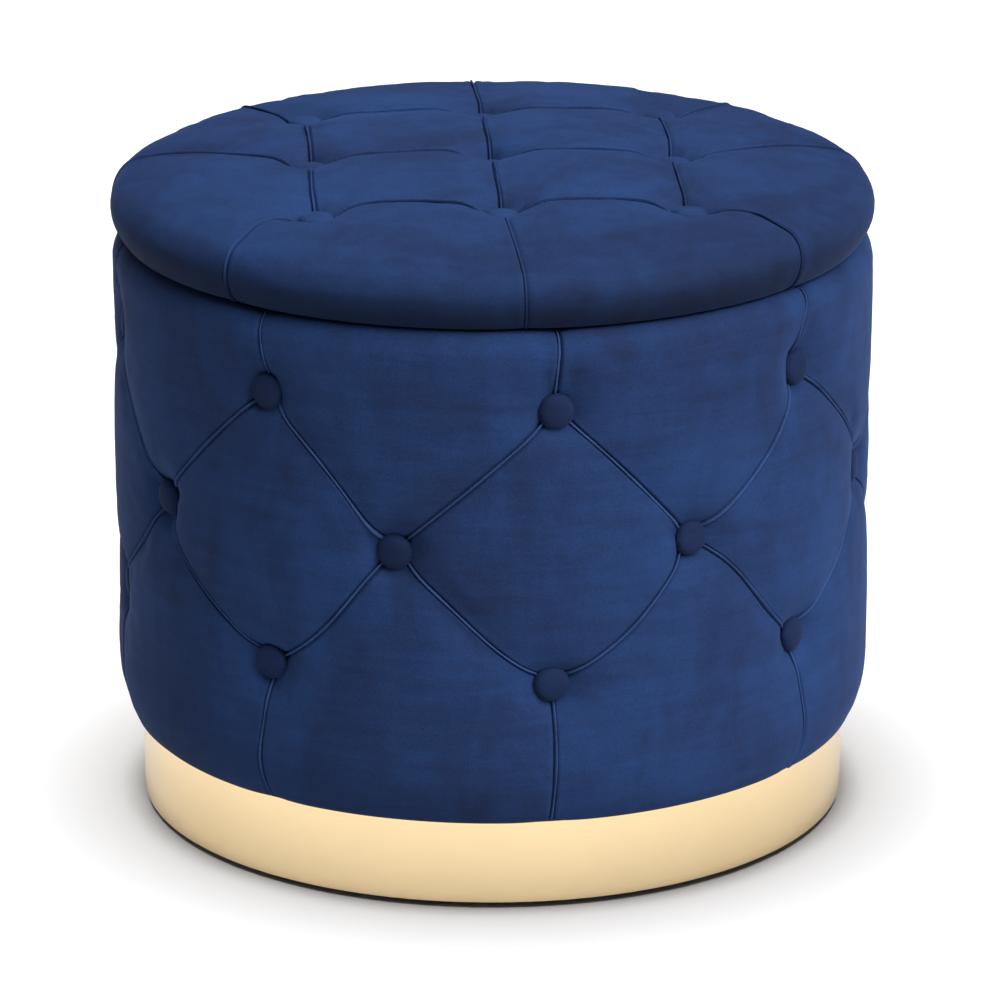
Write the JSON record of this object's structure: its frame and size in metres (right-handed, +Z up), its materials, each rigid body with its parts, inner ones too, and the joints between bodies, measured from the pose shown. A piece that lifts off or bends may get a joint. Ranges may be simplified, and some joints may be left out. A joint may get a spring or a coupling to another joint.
{
  "type": "storage ottoman",
  "caption": "Round storage ottoman: button-tufted velvet drum on a recessed gold metal plinth, with a tufted velvet lid that lifts off a lined hollow inside.",
  "frame": {"origin": "on the floor, at the centre of the base", "axes": "+Z up; a column of upper and lower side buttons faces -Y; the joint of the plinth band is at +Y"},
  "size_m": [0.502, 0.502, 0.4429],
  "materials": {
    "velvet": "matte",
    "velvet_buttons": "matte",
    "twine": "matte",
    "toggle_plastic": "matte",
    "gold_metal": "polished",
    "foam": "matte",
    "glide_plastic": "satin",
    "black_lining": "matte",
    "fibreboard": "matte",
    "hardboard": "matte",
    "plywood": "matte",
    "softwood": "matte",
    "zinc_steel": "satin"
  },
  "bodies": {
    "drum": {"band_joint_plate": "gold_metal", "band_screws": "gold_metal", "dust_cover": "black_lining", "dust_cover_staples": "zinc_steel", "floor_board": "plywood", "floor_lining": "black_lining", "glide_1": "glide_plastic", "glide_2": "glide_plastic", "glide_3": "glide_plastic", "glide_4": "glide_plastic", "glide_5": "glide_plastic", "glide_6": "glide_plastic", "glide_nails": "zinc_steel", "plinth_band": "gold_metal", "plinth_ring_lower": "fibreboard", "plinth_ring_middle": "fibreboard", "plinth_ring_upper": "fibreboard", "plinth_screws": "zinc_steel", "post_screws_lower": "zinc_steel", "post_screws_upper": "zinc_steel", "rim_pad": "foam", "side_button_ties": "twine", "side_buttons_lower": "velvet_buttons", "side_buttons_middle": "velvet_buttons", "side_buttons_upper": "velvet_buttons", "side_cover": "velvet", "side_cover_staples": "zinc_steel", "side_foam": "foam", "side_tie_toggles": "toggle_plastic", "top_ring": "plywood", "wall_lining": "black_lining", "wall_post_1": "softwood", "wall_post_2": "softwood", "wall_post_3": "softwood", "wall_post_4": "softwood", "wall_post_5": "softwood", "wall_post_6": "softwood", "wall_post_7": "softwood", "wall_post_8": "softwood", "wall_shell": "hardboard"},
    "lid": {"lid_board": "plywood", "lid_button_1": "velvet_buttons", "lid_button_2": "velvet_buttons", "lid_button_3": "velvet_buttons", "lid_button_4": "velvet_buttons", "lid_button_5": "velvet_buttons", "lid_button_6": "velvet_buttons", "lid_button_7": "velvet_buttons", "lid_button_8": "velvet_buttons", "lid_button_9": "velvet_buttons", "lid_button_ties": "twine", "lid_cover": "velvet", "lid_cover_staples": "zinc_steel", "lid_foam": "foam", "lid_plug_board": "plywood", "lid_plug_lining": "black_lining", "lid_plug_screws": "zinc_steel", "lid_tie_toggles": "toggle_plastic"}
  },
  "joints": [
    {"name": "lid_lift", "type": "slide", "parent": "drum", "child": "lid", "axis": [0, 0, 1], "range_m": [0, 0.35]}
  ]
}
